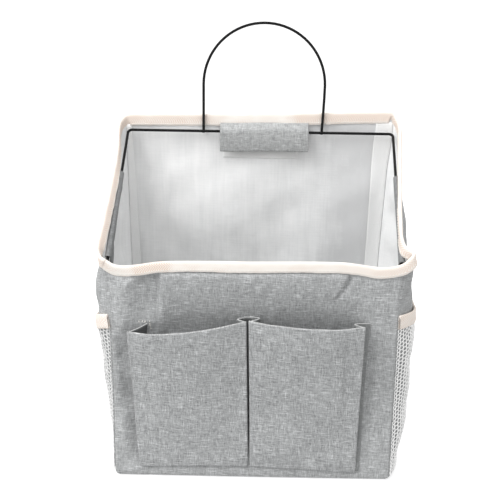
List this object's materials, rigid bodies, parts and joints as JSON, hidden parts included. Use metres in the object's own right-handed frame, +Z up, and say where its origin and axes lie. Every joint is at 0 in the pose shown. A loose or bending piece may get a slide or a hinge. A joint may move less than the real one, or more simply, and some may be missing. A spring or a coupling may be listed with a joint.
{
  "type": "hanging storage organizer",
  "caption": "Hanging fabric storage bag with a wire ring and hanging arch, front pockets, net side pockets and a bound, sloping mouth.",
  "frame": {"origin": "centre of the flat bottom, on the surface that the bag stands on", "axes": "+X to the right as seen from the front, +Y to the back wall, where the bag hangs, and +Z up"},
  "size_m": [0.275, 0.1542, 0.3632],
  "materials": {
    "linen": "grey woven linen with a white coated back",
    "binding": "cream woven tape, folded and stitched",
    "net": "white knitted net with open diamonds",
    "wire": "steel wire, semi-gloss black coating",
    "seam_tape": "thin off-white non-woven tape",
    "hook_tape": "touch-fastener tape, hook side",
    "loop_tape": "touch-fastener tape, loop side"
  },
  "bodies": {
    "bag": {"front_panel": "linen", "back_panel": "linen", "bottom_panel": "linen", "left_side_panel": "linen", "right_side_panel": "linen", "rim_binding": "binding", "wire_ring": "wire", "hanging_arch": "wire", "back_wall_loop_tape": "loop_tape", "front_wall_loop_tape": "loop_tape", "left_wall_loop_tape": "loop_tape", "right_wall_loop_tape": "loop_tape", "back_left_seam_tape": "seam_tape", "back_right_seam_tape": "seam_tape", "front_left_seam_tape": "seam_tape", "front_right_seam_tape": "seam_tape", "bottom_seam_tape": "seam_tape", "left_net_pocket": "net", "right_net_pocket": "net", "left_net_binding": "binding", "right_net_binding": "binding", "left_pocket_left_gusset": "linen", "left_pocket_right_gusset": "linen", "right_pocket_left_gusset": "linen", "right_pocket_right_gusset": "linen"},
    "back_flap": {"back_flap": "linen", "back_flap_hook_tape": "hook_tape"},
    "front_flap": {"front_flap": "linen", "front_flap_hook_tape": "hook_tape"},
    "left_flap": {"left_flap": "linen", "left_flap_hook_tape": "hook_tape"},
    "right_flap": {"right_flap": "linen", "right_flap_hook_tape": "hook_tape"},
    "left_pocket": {"left_pocket_front": "linen"},
    "right_pocket": {"right_pocket_front": "linen"}
  },
  "joints": [
    {"name": "back_flap_fold", "type": "hinge", "parent": "bag", "child": "back_flap", "pos_m": [0.0034, 0.0616, 0.2742], "axis": [-1, 0, 0], "range_deg": [0, 95]},
    {"name": "front_flap_fold", "type": "hinge", "parent": "bag", "child": "front_flap", "pos_m": [0, -0.0618, 0.1762], "axis": [1, 0, 0], "range_deg": [0, 90]},
    {"name": "left_flap_fold", "type": "hinge", "parent": "bag", "child": "left_flap", "pos_m": [-0.1181, -0.01881, 0.20953], "axis": [0, -0.7831, -0.6219], "range_deg": [0, 85]},
    {"name": "right_flap_fold", "type": "hinge", "parent": "bag", "child": "right_flap", "pos_m": [0.1181, -0.01881, 0.20953], "axis": [0, 0.7831, 0.6219], "range_deg": [0, 85]},
    {"name": "left_pocket_lean", "type": "hinge", "parent": "bag", "child": "left_pocket", "pos_m": [-0.04985, -0.066, 0.005], "axis": [1, 0, 0], "range_deg": [-6, 5.5], "deforming": ["left_pocket_left_gusset", "left_pocket_right_gusset"]},
    {"name": "right_pocket_lean", "type": "hinge", "parent": "bag", "child": "right_pocket", "pos_m": [0.04405, -0.066, 0.005], "axis": [1, 0, 0], "range_deg": [-6, 5.5], "deforming": ["right_pocket_left_gusset", "right_pocket_right_gusset"]}
  ]
}
